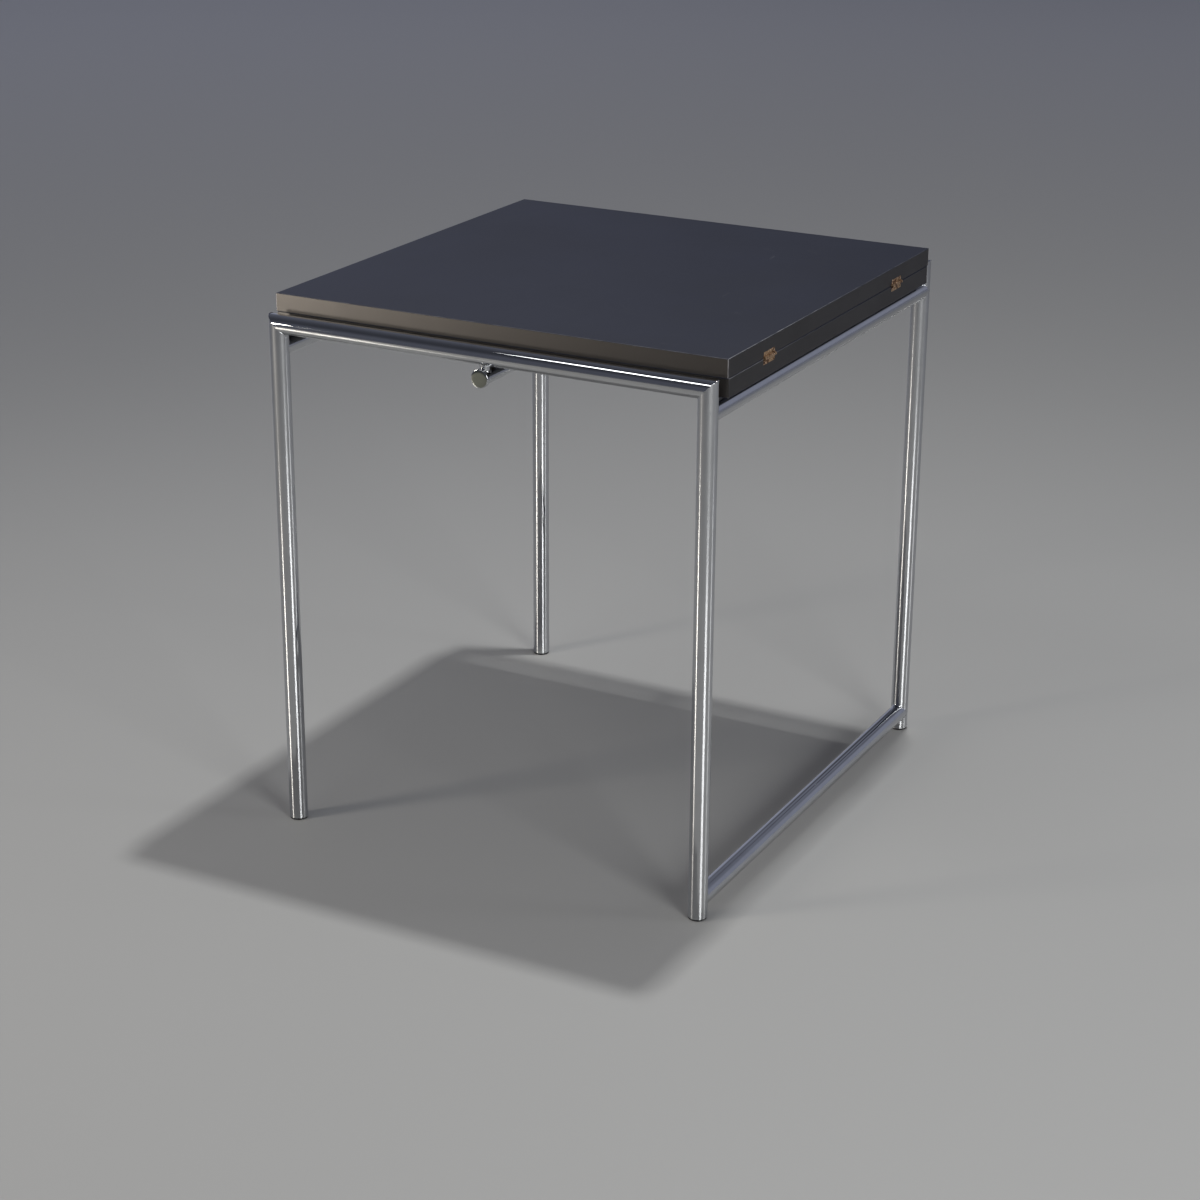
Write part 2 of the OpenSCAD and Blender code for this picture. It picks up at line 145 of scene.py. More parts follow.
CHROME_ROUGHNESS = (0.02, 0.04)
STREAK_ROUGHNESS = 0.006
PIT_ROUGHNESS = 0.06
LAMINATE_ROUGHNESS = (0.445, 0.485)
PEARL_ROUGHNESS = 0.06
EDGING_ROUGHNESS = (0.44, 0.49)
BOARD_ROUGHNESS = (0.70, 0.92)
BRASS_ROUGHNESS = (0.22, 0.55)
PLASTIC_ROUGHNESS = (0.38, 0.55)
NYLON_ROUGHNESS = (0.40, 0.60)
STEEL_ROUGHNESS = (0.20, 0.34)

# The edge banding's brushing: its strength, its direction and the tint of its gloss

BRUSHING = 0.79
BRUSHED_ALONG = (0.02, 0.03, 1.0)
BRUSHED_TINT = (1.0, 0.93, 0.86)

# Studio

FLOOR_STEPS = 96                   # corners of the round floor
FLOOR_FADE = (2.0, 8.0)            # distances over which the floor takes its far colour
FLOOR_ROUGHNESS = (0.25, 0.55)     # as the chrome sees it, and as the camera sees it
FLOOR_SPECULAR = (0.5, 0.12)       # as the chrome sees it, and as the camera sees it
SENSOR_WIDTH = 36.0                # in millimetres
CLIP_START = 0.05
CLIP_END = 200.0

WHITE = (1.0, 1.0, 1.0)
WARM = (1.0, 0.93, 0.84)
LAMPS = {
    "ceiling_lamp": {
        "place": (0.24, 0.60, 4.00), "aim": (0.24, 0.60, 0.0),
        "width": 0.18, "height": 0.18, "radiance": 760.0, "colour": WHITE},
    "rail_lamp": {
        "place": (-0.708, -1.76, 3.20), "aim": (0.232, -0.59, 0.7),
        "width": 1.64, "height": 0.35, "radiance": 6.5, "colour": WHITE},
    "standing_lamp_left": {
        "place": (-2.240, -2.645, 1.09), "aim": (-0.304, -0.339, 1.09),
        "width": 0.58, "height": 0.82, "radiance": 28.0, "colour": WARM},
    "low_lamp_left": {
        "place": (-3.577, -4.118, 0.27), "aim": (-0.304, -0.339, 0.27),
        "width": 1.00, "height": 0.50, "radiance": 68.0, "colour": WARM},
    "standing_lamp_right": {
        "place": (2.87, -2.00, 1.40), "aim": (0.0, 0.0, 1.40),
        "width": 1.15, "height": 1.30, "radiance": 14.0, "colour": WHITE},
    "standing_lamp_back": {
        "place": (3.40, 0.90, 1.30), "aim": (0.0, 0.0, 1.30),
        "width": 0.70, "height": 1.40, "radiance": 5.0, "colour": WHITE},
}
EDGE_LAMP = "low_lamp_left"

# How the room's brightness changes with the direction: the part of the direction's axis over
# which it changes, and its level before and after
ROOM = {
    "height": ("Z", (0.30, 0.70), (1.0, 0.48)),
    "behind": ("Y", (-0.5, 0.9), (0.48, 1.35)),
    "lit_side": ("X", (-0.75, -0.45), (1.6, 1.0)),
    "left_of_gap": ("X", (-0.52, -0.34), (1.0, 0.0)),
    "right_of_gap": ("X", (0.15, 0.45), (0.0, 1.0)),
    "in_front": ("Y", (0.2, 0.6), (1.0, 0.0)),
    "over_gap": ("Z", (0.38, 0.55), (0.0, 1.0)),
}
GAP_LEVEL = 0.2


# Settings a user would change

class TableFinishes(bpy.types.PropertyGroup):
    chrome: FloatVectorProperty(
        name="Chrome", description="Colour of the chrome plate", subtype="COLOR",
        default=(0.57, 0.58, 0.59))
    knob: FloatVectorProperty(
        name="Knob", description="Colour of the knob's dulled face", subtype="COLOR",
        default=(0.27, 0.28, 0.24))
    laminate: FloatVectorProperty(
        name="Laminate", description="Colour of the leaves' faces", subtype="COLOR",
        default=(0.0080, 0.0100, 0.0205))
    # The front and rear strips of the edge banding take this colour; its sides are painted darker,
    # as painted shade.
    edging: FloatVectorProperty(
        name="Edging", description="Colour of the leaves' edges", subtype="COLOR",
        default=(0.008, 0.007, 0.0065))
    # Pale colour of scratches, specks and dust, and of the line along the edges, which is partly
    # wear and partly a painted highlight.
    pale_marks_and_highlight: FloatVectorProperty(
        name="Worn arris", description="Colour of the fine line along worn edges",
        subtype="COLOR", default=(0.20, 0.20, 0.21))
    board: FloatVectorProperty(
        name="Board", description="Colour of the chipboard inside", subtype="COLOR",
        default=(0.42, 0.30, 0.18))
    brass: FloatVectorProperty(
        name="Brass", description="Colour of clean brass", subtype="COLOR",
        default=(0.62, 0.40, 0.215))
    # The pale spots on the brass are partly rubbed brass and partly a painted highlight.
    rubbed_and_glint: FloatVectorProperty(
        name="Rubbed brass", description="Colour of the spots that handling has rubbed bright",
        subtype="COLOR", default=(0.98, 0.72, 0.48))
    tarnish: FloatVectorProperty(
        name="Tarnish", description="Colour of the tarnish on the brass", subtype="COLOR",
        default=(0.10, 0.040, 0.018))
    plastic: FloatVectorProperty(
        name="Black plastic", description="Colour of glides and strips", subtype="COLOR",
        default=(0.012, 0.012, 0.013))
    nylon: FloatVectorProperty(
        name="Nylon", description="Colour of bushes and cams", subtype="COLOR",
        default=(0.66, 0.64, 0.58))
    steel: FloatVectorProperty(
        name="Steel", description="Colour of the turned steel pieces", subtype="COLOR",
        default=(0.56, 0.57, 0.59))


class TableWelds(bpy.types.PropertyGroup):
    cope_reach: FloatProperty(
        name="Cope weld", description="Reach of the weld round a coped tube end",
        default=2.2 * MM, min=0.5 * MM, max=4 * MM, unit="LENGTH")
    mitre_reach: FloatProperty(
        name="Mitre weld", description="Reach of the weld inside a mitred corner",
        default=2.0 * MM, min=0.5 * MM, max=4 * MM, unit="LENGTH")
    hanger_reach: FloatProperty(
        name="Hanger weld", description="Radius of the rippled bead round a hanger post",
        default=2.2 * MM, min=0.3 * MM, max=2.5 * MM, unit="LENGTH")
    ridge: FloatProperty(
        name="Ridge", description="Radius of the fine ridge along a mitre",
        default=0.7 * MM, min=0.05 * MM, max=1 * MM, unit="LENGTH")
    ripples: IntProperty(
        name="Ripples", description="Ripples along the bead round a hanger post",
        default=11, min=0, max=30)
    least_reach: FloatProperty(
        name="Least reach", description="Reach of a weld where two tubes run into one",
        default=0.05 * MM, min=0.01 * MM, max=0.2 * MM, unit="LENGTH")
    steps_round: IntProperty(
        name="Steps round", description="Points along a weld", default=120, min=24, max=400)
    steps_across: IntProperty(
        name="Steps across", description="Points across a weld", default=8, min=3, max=24)


class TableKnob(bpy.types.PropertyGroup):
    rim: FloatProperty(
        name="Rim", description="Radius of the knob's rounded front rim",
        default=0.7 * MM, min=0.2 * MM, max=2 * MM, unit="LENGTH")
    crown: FloatProperty(
        name="Crown", description="How far the knob's face falls back towards its rim",
        default=0.3 * MM, min=0, max=1 * MM, unit="LENGTH")
    steps_round: IntProperty(
        name="Steps round", description="Points round the knob", default=128, min=24, max=400)


class TableStudio(bpy.types.PropertyGroup):
    floor: FloatVectorProperty(
        name="Floor", description="Colour of the plain floor", subtype="COLOR",
        default=(0.37, 0.37, 0.36))
    far_floor: FloatVectorProperty(
        name="Far floor", description="Colour of the floor's far part, which gets less light",
        subtype="COLOR", default=(0.90, 0.90, 0.90))
    floor_radius: FloatProperty(
        name="Floor radius", description="Radius of the round floor", default=40.0,
        min=5.0, max=100.0, unit="LENGTH")
    walls: FloatVectorProperty(
        name="Walls", description="Colour of the room past the floor", subtype="COLOR",
        default=(0.195, 0.206, 0.262))
    lens: FloatProperty(
        name="Lens", description="Focal length of the camera", default=77.157,
        min=20.0, max=200.0, unit="CAMERA")
    camera_place: FloatVectorProperty(
        name="Camera place", description="Where the camera stands", subtype="XYZ",
        unit="LENGTH", default=(1.55386, -2.95646, 1.55042))
    camera_yaw: FloatProperty(
        name="Yaw", description="Turn of the camera to the right of +Y",
        subtype="ANGLE", default=math.radians(-28.009))
    camera_pitch: FloatProperty(
        name="Pitch", description="Tilt of the camera below the horizon",
        subtype="ANGLE", default=math.radians(21.122))
    camera_roll: FloatProperty(
        name="Roll", description="Turn of the camera about its own view line",
        subtype="ANGLE", default=math.radians(0.305))


# Shader building

class Shading:
    """The node tree of a material or of the world, with short ways to add its nodes."""

    def __init__(self, tree):
        self.tree = tree
        self.tree.nodes.clear()

    def add(self, kind):
        return self.tree.nodes.new(kind)

    def link(self, source, target):
        self.tree.links.new(source, target)

    def set(self, socket, value):
        """Puts a number, a colour or another node's output on an input socket."""
        if isinstance(value, bpy.types.NodeSocket):
            self.link(value, socket)
        elif hasattr(value, "__len__") and len(value) == 3 and len(socket.default_value) == 4:
            socket.default_value = (*value, 1.0)
        else:
            socket.default_value = value

    def math(self, kind, *values):
        """One step of arithmetic on numbers and other nodes' outputs."""
        node = self.add("ShaderNodeMath")
        node.operation = kind
        for socket, value in zip(node.inputs, values):
            self.set(socket, value)
        return node.outputs[0]

    def band(self, value, source, target=(0.0, 1.0)):
        """Takes value smoothly from the range source to the range target, and no further."""
        node = self.add("ShaderNodeMapRange")
        node.interpolation_type = "SMOOTHSTEP"
        for name, number in zip(("From Min", "From Max", "To Min", "To Max"),
                                (*source, *target)):
            node.inputs[name].default_value = number
        self.link(value, node.inputs["Value"])
        return node.outputs[0]

    def near(self, value, limit, distances, strength=1.0):
        """Grows from 0 to strength as value nears a limit. It begins at the first of the two
        distances from the limit and is full at the second.
        """
        begin, full = distances
        return self.band(value, (limit - begin, limit - full), (0.0, strength))


class Finish(Shading):
    """A material and its shader, whose colour, gloss and relief can vary over the piece."""

    def __init__(self, name, metallic=0.0, ior=1.5):
        self.material = bpy.data.materials.new(name)
        self.material.use_nodes = True
        super().__init__(self.material.node_tree)
        output = self.add("ShaderNodeOutputMaterial")
        self.shader = self.add("ShaderNodeBsdfPrincipled")
        self.shader.inputs["Metallic"].default_value = metallic
        self.shader.inputs["IOR"].default_value = ior
        self.link(self.shader.outputs[0], output.inputs[0])
        self.place = self.add("ShaderNodeTexCoord").outputs["Object"]

    def stretched(self, scale):
        """The place on the piece, in units of 1/scale along each axis."""
        node = self.add("ShaderNodeMapping")
        node.inputs["Scale"].default_value = scale
        self.link(self.place, node.inputs["Vector"])
        return node.outputs[0]

    def noise(self, scale, detail=3.0, rough=0.5, stretch=(1.0, 1.0, 1.0), warp=0.0):
        """Cloudy noise from 0 to 1, with scale patches to the metre."""
        node = self.add("ShaderNodeTexNoise")
        node.inputs["Scale"].default_value = scale
        node.inputs["Detail"].default_value = detail
        node.inputs["Roughness"].default_value = rough
        node.inputs["Distortion"].default_value = warp
        self.link(self.stretched(stretch), node.inputs["Vector"])
        return node.outputs[0]

    def cells(self, scale, stretch=(1.0, 1.0, 1.0), feature="F1"):
        """Scattered points with cells round them, scale of them to the metre. The outputs hold
        the distance, from a point or from a cell's edge, and the cell's colour.
        """
        node = self.add("ShaderNodeTexVoronoi")
        node.feature = feature
        node.inputs["Scale"].default_value = scale
        self.link(self.stretched(stretch), node.inputs["Vector"])
        return node.outputs

    def blend(self, share, a, b):
        """Colour a where share is 0 and colour b where it is 1."""
        node = self.add("ShaderNodeMix")
        node.data_type = "RGBA"
        self.set(node.inputs["Factor"], share)
        self.set(node.inputs["A"], a)
        self.set(node.inputs["B"], b)
        return node.outputs["Result"]

    def axes(self):
        """The X, Y and Z of the place on the piece."""
        node = self.add("ShaderNodeSeparateXYZ")
        self.link(self.place, node.inputs[0])
        return node.outputs

    def colour(self, value):
        self.set(self.shader.inputs["Base Color"], value)

    def rough(self, value):
        self.set(self.shader.inputs["Roughness"], value)

    def relief(self, height, distance, strength):
        """Bump from a height that runs from 0 to 1, distance deep."""
        node = self.add("ShaderNodeBump")
        node.inputs["Strength"].default_value = strength
        node.inputs["Distance"].default_value = distance
        self.link(height, node.inputs["Height"])
        self.link(node.outputs[0], self.shader.inputs["Normal"])


def paint(names, finish):
    """Gives CAD nodes a finish in place of their plain material."""
    for name in names:
        slots = NODES[name].data.materials
        slots.clear()
        slots.append(finish.material)


def times(colour, factor):
    """A colour made lighter or darker."""
    return tuple(part * factor for part in colour)


# Finishes

def chrome_finish(colour, face=None):
    """Polished chrome: near mirror, with handling smears, wiping streaks and fine pits. Where a
    face colour is given, the knob's face has it, out to where its rim begins.
    """
    chrome = Finish("knob_chrome" if face else "polished_chrome", metallic=1.0)
    smears = chrome.noise(scale=24.0, detail=4.0, rough=0.6, warp=0.6)
    wiped = chrome.noise(scale=420.0, detail=2.0, stretch=(1.0, 1.0, 0.12))
    pits = chrome.cells(scale=260.0)["Distance"]
    cloudy = chrome.band(smears, (0.35, 0.75))
    tone = chrome.blend(cloudy, colour, times(colour, 0.94))
    if face:
        x, _, z = chrome.axes()
        z = chrome.math("SUBTRACT", z, LOCK_Z)
        squares = chrome.math("MULTIPLY_ADD", x, x, chrome.math("MULTIPLY", z, z))
        away = chrome.math("SQRT", squares)
        tone = chrome.blend(chrome.near(away, KNOB_R, KNOB_FACE_END), face, tone)
    chrome.colour(tone)
    base = chrome.band(smears, (0.30, 0.80), CHROME_ROUGHNESS)
    streaked = chrome.math("MULTIPLY_ADD", wiped, STREAK_ROUGHNESS, base)
    pitted = chrome.band(pits, (0.02, 0.035), (PIT_ROUGHNESS, 0.0))
    chrome.rough(chrome.math("ADD", streaked, pitted))
    return chrome


def laminate_finish(colour, pale_marks_and_highlight):
    """Matte laminate: even colour, a fine pearl, wiping marks, hair scratches, pale edges partly
    worn and partly a painted highlight.
    """
    sheet = Finish("matte_laminate", ior=1.48)
    clouds = sheet.noise(scale=5.0, detail=5.0, rough=0.55)
    pearl = sheet.noise(scale=1900.0, detail=2.0)
    tone = sheet.blend(sheet.band(clouds, (0.3, 0.7)), times(colour, 0.90), times(colour, 1.12))
    marked = sheet.blend(sheet.math("MULTIPLY", laminate_marks(sheet), 0.5), tone, pale_marks_and_highlight)
    # The pale edge line is partly wear and partly a painted highlight.
    edge = laminate_edges(sheet)
    worn = sheet.band(sheet.noise(scale=40.0, detail=3.0), (0.30, 0.62), (0.35, 1.0))
    sheet.colour(sheet.blend(sheet.math("MULTIPLY", edge, worn), marked, pale_marks_and_highlight))
    wiped = sheet.noise(scale=6.0, detail=4.0, stretch=(1.0, 0.5, 1.0), warp=0.3)
    satin = sheet.band(wiped, (0.25, 0.75), LAMINATE_ROUGHNESS)
    sheet.rough(sheet.math("MULTIPLY_ADD", pearl, PEARL_ROUGHNESS, satin))
    sheet.relief(pearl, distance=0.012 * MM, strength=0.6)
    return sheet


def laminate_marks(sheet):
    """Hair scratches in patches, and rare specks, as a share from 0 to 1."""
    hair = sheet.cells(scale=5.5, stretch=(0.7, 9.0, 1.0), feature="DISTANCE_TO_EDGE")
    scratch = sheet.band(hair["Distance"], (0.0, 0.004), (1.0, 0.0))
    patchy = sheet.band(sheet.noise(scale=9.0, detail=1.0), (0.56, 0.70))
    scratch = sheet.math("MULTIPLY", scratch, patchy)
    specks = sheet.band(sheet.cells(scale=46.0)["Distance"], (0.018, 0.030), (1.0, 0.0))
    rare = sheet.band(sheet.noise(scale=31.0, detail=0.0), (0.60, 0.64))
    specks = sheet.math("MULTIPLY", specks, rare)
    return sheet.math("MAXIMUM", sheet.math("MULTIPLY", scratch, 0.30), specks)


def laminate_edges(sheet):
    """The pale line along the top edge and the seam, partly wear and partly a painted highlight,
    as a
    share from 0 to 1: strongest on the front half of the sides, and faint on the front and rear.
    """
    x, y, z = sheet.axes()
    side = sheet.near(sheet.math("ABSOLUTE", x), LEAF_HALF, SIDE_WEAR_AND_HIGHLIGHT)
    end = sheet.near(sheet.math("ABSOLUTE", y), LEAF_HALF, END_WEAR_AND_HIGHLIGHT, strength=0.35)
    # The pale line fades from the front of the sides towards the rear.
    front_to_rear_fade = sheet.band(y, TOP_LINE_FADE, (1.0, 0.20))
    edge = sheet.math("MAXIMUM", sheet.math("MULTIPLY", side, front_to_rear_fade), end)
    on_top = sheet.near(z, TOP_Z, TOP_WEAR_AND_HIGHLIGHT)
    over_seam = sheet.band(z, [SEAM_Z + up for up in OVER_SEAM], (1.0, 0.0))
    at_seam = sheet.math("MULTIPLY", sheet.near(z, SEAM_Z, SEAM_WEAR_AND_HIGHLIGHT), over_seam)
    at_seam = sheet.math("MULTIPLY", at_seam, sheet.band(y, SEAM_LINE_FADE, (1.0, 0.35)))
    return sheet.math("MULTIPLY", edge, sheet.math("MAXIMUM", on_top, at_seam))


def edging_finish(colour, pale_marks_and_highlight):
    """Edge banding: satin brown grey, brushed so that its gloss spreads up and down, with slow
    tone changes and a pale line down each corner, partly wear and partly a painted highlight. The
    front and rear strips are lighter than the sides: painted light on the front and rear and
    painted shade on the sides.
    """
    strip = Finish("edge_banding", ior=1.64)
    strip.set(strip.shader.inputs["Anisotropic"], BRUSHING)
    strip.set(strip.shader.inputs["Specular Tint"], BRUSHED_TINT)
    upright = strip.add("ShaderNodeCombineXYZ")
    for socket, value in zip(upright.inputs, BRUSHED_ALONG):
        strip.set(socket, value)
    strip.link(upright.outputs[0], strip.shader.inputs["Tangent"])
    tone = strip.noise(scale=11.0, detail=5.0, rough=0.6)
    grain = strip.noise(scale=900.0, detail=2.0, stretch=(1.0, 1.0, 0.25))
    x, y, _ = strip.axes()
    from_x = strip.math("ABSOLUTE", x)
    from_y = strip.math("ABSOLUTE", y)
    # The front and rear strips are painted lighter and the sides darker: painted light on the
    # front and rear, painted shade on the sides.
    base = strip.blend(strip.near(from_y, LEAF_HALF, END_STRIP), times(colour, 0.35), colour)
    plain = strip.blend(strip.band(tone, (0.3, 0.7), (0.0, 0.25)), base, (0.0, 0.0, 0.0))
    dust = strip.band(strip.cells(scale=80.0)["Distance"], (0.02, 0.04), (0.35, 0.0))
    dusty = strip.blend(dust, plain, pale_marks_and_highlight)
    # The pale line down each corner is partly wear and partly a painted highlight.
    corner = strip.math("MULTIPLY", strip.near(from_x, LEAF_HALF, END_WEAR_AND_HIGHLIGHT),
                        strip.near(from_y, LEAF_HALF, END_WEAR_AND_HIGHLIGHT))
    worn = strip.band(strip.noise(scale=90.0, detail=3.0), (0.3, 0.62), (0.4, 1.0))
    strip.colour(strip.blend(strip.math("MULTIPLY", corner, worn), dusty, pale_marks_and_highlight))
    strip.rough(strip.band(tone, (0.3, 0.75), EDGING_ROUGHNESS))
    strip.relief(grain, distance=0.006 * MM, strength=0.4)
    return strip


def board_finish(colour):
    """Chipboard: pressed wood chips of mixed tone."""
    board = Finish("chipboard")
    chips = board.cells(scale=320.0, stretch=(1.0, 1.0, 2.2))
    tone = board.add("ShaderNodeSeparateColor")
    board.link(chips["Color"], tone.inputs[0])
    board.colour(board.blend(tone.outputs[0], times(colour, 0.62), times(colour, 1.25)))
    board.rough(board.band(tone.outputs[1], (0.0, 1.0), BOARD_ROUGHNESS))
    board.relief(chips["Distance"], distance=0.2 * MM, strength=0.7)
    return board


def brass_finish(colour, tarnish, bright):
    """Aged brass: brown in patches, with small pale spots that are partly rubbed brass and partly
    a painted highlight.
    """
    brass = Finish("aged_brass", metallic=1.0)
    age = brass.noise(scale=170.0, detail=4.0, rough=0.6)
    aged = brass.blend(brass.band(age, (0.46, 0.60)), colour, tarnish)
    # Pale spots at random, partly rubbed brass and partly a painted highlight.
    rubbed_and_glint = brass.band(brass.noise(scale=260.0, detail=2.0), (0.60, 0.68))
    brass.colour(brass.blend(rubbed_and_glint, aged, bright))
    brass.rough(brass.band(age, (0.3, 0.7), BRASS_ROUGHNESS))
    brass.relief(brass.noise(scale=700.0, detail=3.0), distance=0.03 * MM, strength=0.5)
    return brass


def plastic_finish(name, colour, roughness):
    """Moulded plastic: a fine even grain, and scuffs that change its gloss."""
    plastic = Finish(name, ior=1.49)
    scuffs = plastic.noise(scale=60.0, detail=4.0)
    scuffed = plastic.band(scuffs, (0.4, 0.75))
    plastic.colour(plastic.blend(scuffed, colour, times(colour, 1.7)))
    plastic.rough(plastic.band(scuffs, (0.3, 0.7), roughness))
    plastic.relief(plastic.noise(scale=1500.0, detail=2.0), distance=0.02 * MM, strength=0.5)
    return plastic


def steel_finish(colour):
    """Turned steel: fine rings from the lathe, along the shafts, which lie along Y."""
    steel = Finish("turned_steel", metallic=1.0)
    rings = steel.noise(scale=500.0, detail=2.0, stretch=(0.05, 1.0, 0.05))
    steel.colour(steel.blend(steel.band(rings, (0.3, 0.7)), times(colour, 0.85), colour))
    steel.rough(steel.band(rings, (0.3, 0.7), STEEL_ROUGHNESS))
    steel.relief(rings, distance=0.01 * MM, strength=0.4)
    return steel


# Surfaces worked out on grids

def turns(steps):
    """Angles that divide a full turn evenly, without its end."""
    return np.linspace(0.0, FULL_TURN, steps, endpoint=False)


def grid_faces(rows, columns, closed_rows=False):
    """Quads of a grid of points whose columns close on themselves, and whose rows may."""
    row = np.arange(rows if closed_rows else rows - 1)
    column = np.arange(columns)
    first, second = np.meshgrid(row, column, indexing="ij")
    next_row = (first + 1) % rows
    next_column = (second + 1) % columns
    return np.stack([first * columns + second, first * columns + next_column,
                     next_row * columns + next_column, next_row * columns + second],
                    axis=-1).reshape(-1, 4)


def solid_piece(name, points, faces, finish, body):
    """A smooth mesh from points and faces, with its normals turned outwards, that rides on a
    body.
    """
    mesh = bpy.data.meshes.new(name)
    mesh.from_pydata(points.reshape(-1, 3).tolist(), [], faces)
    mesh.update()
    piece = bpy.data.objects.new(name, mesh)
    bpy.context.scene.collection.objects.link(piece)
    turn_outwards(mesh)
    mesh.polygons.foreach_set("use_smooth", np.ones(len(mesh.polygons), dtype=bool))
    mesh.materials.append(finish.material)
    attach(piece, body)
    return piece


def turn_outwards(mesh):
    """Flips every face if the solid's signed volume says that they point inwards."""
    mesh.calc_loop_triangles()
    points = np.empty(len(mesh.vertices) * 3)
    mesh.vertices.foreach_get("co", points)
    points = points.reshape(-1, 3)
    corners = np.empty(len(mesh.loop_triangles) * 3, dtype=np.int32)
    mesh.loop_triangles.foreach_get("vertices", corners)
    a, b, c = (points[corners.reshape(-1, 3)[:, k]] for k in range(3))
    if np.einsum("ij,ij->i", a, np.cross(b, c)).sum() < 0:
        mesh.flip_normals()


def close_section(face, corner, along_first, along_second, reach):
    """Adds the weld's root to its face: the seam point, sunk a little into the metal."""
    root = corner - (along_first + along_second) * reach[:, None] * ROOT_SINK
    return np.concatenate([face, root[:, None]], axis=1)


def weld_points(corner, along_first, along_second, reach, steps_across):
    """A weld along a seam. At each seam point the hollow face of the weld is a parabola between
    the two surfaces: it leaves the first surface reach away from the seam, is drawn towards the
    seam point, and meets the second surface reach away.
    """
    t = np.linspace(0.0, 1.0, steps_across)[None, :, None]
    first = corner + along_first * reach[:, None]
    second = corner + along_second * reach[:, None]
    face = ((1 - t) ** 2 * first[:, None] + 2 * t * (1 - t) * corner[:, None]
            + t ** 2 * second[:, None])
    return close_section(face, corner, along_first, along_second, reach)


def cope_weld(x, leg_y, z, settings):
    """The seam of a tube along Y against a leg of the same radius: at the turn a round the tube,
    the seam stands off the leg's axis by the radius times the sine of a, taken as positive. The
    weld narrows to nothing at the sides, where the two tubes run into one.
    """
    inwards = -math.copysign(1.0, leg_y)
    a = turns(settings.steps_round)
    corner = np.stack([x + TUBE_R * np.cos(a), leg_y + inwards * TUBE_R * np.abs(np.sin(a)),
                       z + TUBE_R * np.sin(a)], axis=1)
    along_tube = np.tile([0.0, inwards, 0.0], (len(a), 1))
    along_leg = np.stack([0 * a, 0 * a, np.where(np.sin(a) < 0, -1.0, 1.0)], axis=1)
    reach = np.maximum(settings.cope_reach * np.abs(np.sin(a)) ** 2, settings.least_reach)
    return weld_points(corner, along_tube, along_leg, reach, settings.steps_across)


def mitre_weld(side, leg_y, settings):
    """The seam of a mitred corner: at the turn a round the leg, it rises by the radius times the
    cosine of a towards the outside. The weld fills the inner half and fades out at the sides.
    """
    a = turns(settings.steps_round)
    outward = np.cos(a)
    skin = TUBE_R - SKIN_SINK
    corner = np.stack([side * (LEG_X + skin * outward), leg_y + skin * np.sin(a),
                       TOP_RAIL_Z + skin * outward], axis=1)
    down_leg = np.tile([0.0, 0.0, -1.0], (len(a), 1))
    along_rail = np.tile([-side, 0.0, 0.0], (len(a), 1))
    fullness = np.clip(-outward, 0.0, 1.0) ** 2
    reach = np.maximum(settings.mitre_reach * fullness, settings.least_reach)
    return weld_points(corner, down_leg, along_rail, reach, settings.steps_across)


def mitre_ridge(side, leg_y, settings):
    """The fine ridge that filing leaves along a mitre. The seam is an ellipse in the mitre's
    plane. Round each of its points goes a small circle, through the ellipse's normal and the
    plane's own normal, whose radius follows the square of the cosine of the turn a, so the ridge
    is highest at the top and at the bottom of the seam and fades out at its sides.
    """
    a = turns(settings.steps_round)
    skin = TUBE_R - SKIN_SINK
    along = np.array([side, 0.0, 1.0]) / math.sqrt(2)
    across = np.array([0.0, 1.0, 0.0])
    plane_normal = np.array([side, 0.0, -1.0]) / math.sqrt(2)
    centre = np.array([side * LEG_X, leg_y, TOP_RAIL_Z])
    seam = centre + skin * (math.sqrt(2) * np.cos(a)[:, None] * along
                            + np.sin(a)[:, None] * across)
    normal = np.cos(a)[:, None] / math.sqrt(2) * along + np.sin(a)[:, None] * across
    normal /= np.linalg.norm(normal, axis=1)[:, None]
    radius = np.maximum(settings.ridge * np.cos(a) ** 2, RIDGE_END)[:, None, None]
    turn = turns(RIDGE_STEPS)[None, :, None]
    return seam[:, None] + radius * (np.cos(turn) * normal[:, None]
                                     + np.sin(turn) * plane_normal)


def hanger_weld(leg_y, settings, at_rail):
    """The bead round a hanger post where a tube crosses it. The seam's height follows the
    crossing tube's round. The bead's section is a quarter circle about the seam point, from the
    post over to the tube, and its radius swells and sinks with the sine of a whole number of
    turns. On the side that faces the end of the lock tube it dwindles to nothing.
    """
    a = turns(settings.steps_round)
    tube_r = TUBE_R if at_rail else LOCK_TUBE_R
    centre_z = TOP_RAIL_Z if at_rail else LOCK_Z
    side = -1.0 if at_rail else 1.0

    def on_tube(radius):
        """The post's circle, widened to a radius and laid on the tube's skin."""
        x = radius * np.cos(a)
        y = radius * np.sin(a)
        across = y if at_rail else x
        return np.stack([x, leg_y + y, centre_z + side * np.sqrt(tube_r ** 2 - across ** 2)],
                        axis=1)

    outward = np.clip(np.sin(a) * math.copysign(1.0, leg_y), 0.0, 1.0)
    ripple = np.sin(settings.ripples * a) * np.cos(2 * a + BEAD_DRIFT)
    swell = (1 - BEAD_SWELL) + BEAD_SWELL * ripple
    reach = np.maximum(settings.hanger_reach * swell * (1 - outward), settings.least_reach)
    corner = on_tube(HANGER_R)
    spread = on_tube(HANGER_R + settings.hanger_reach)
    along_tube = (spread - corner) / settings.hanger_reach
    along_post = np.tile([0.0, 0.0, side], (len(a), 1))
    turn = np.linspace(0.0, FULL_TURN / 4, settings.steps_across)[None, :, None]
    face = corner[:, None] + reach[:, None, None] * (np.cos(turn) * along_post[:, None]
                                                     + np.sin(turn) * along_tube[:, None])
    return close_section(face, corner, along_post, along_tube, reach)


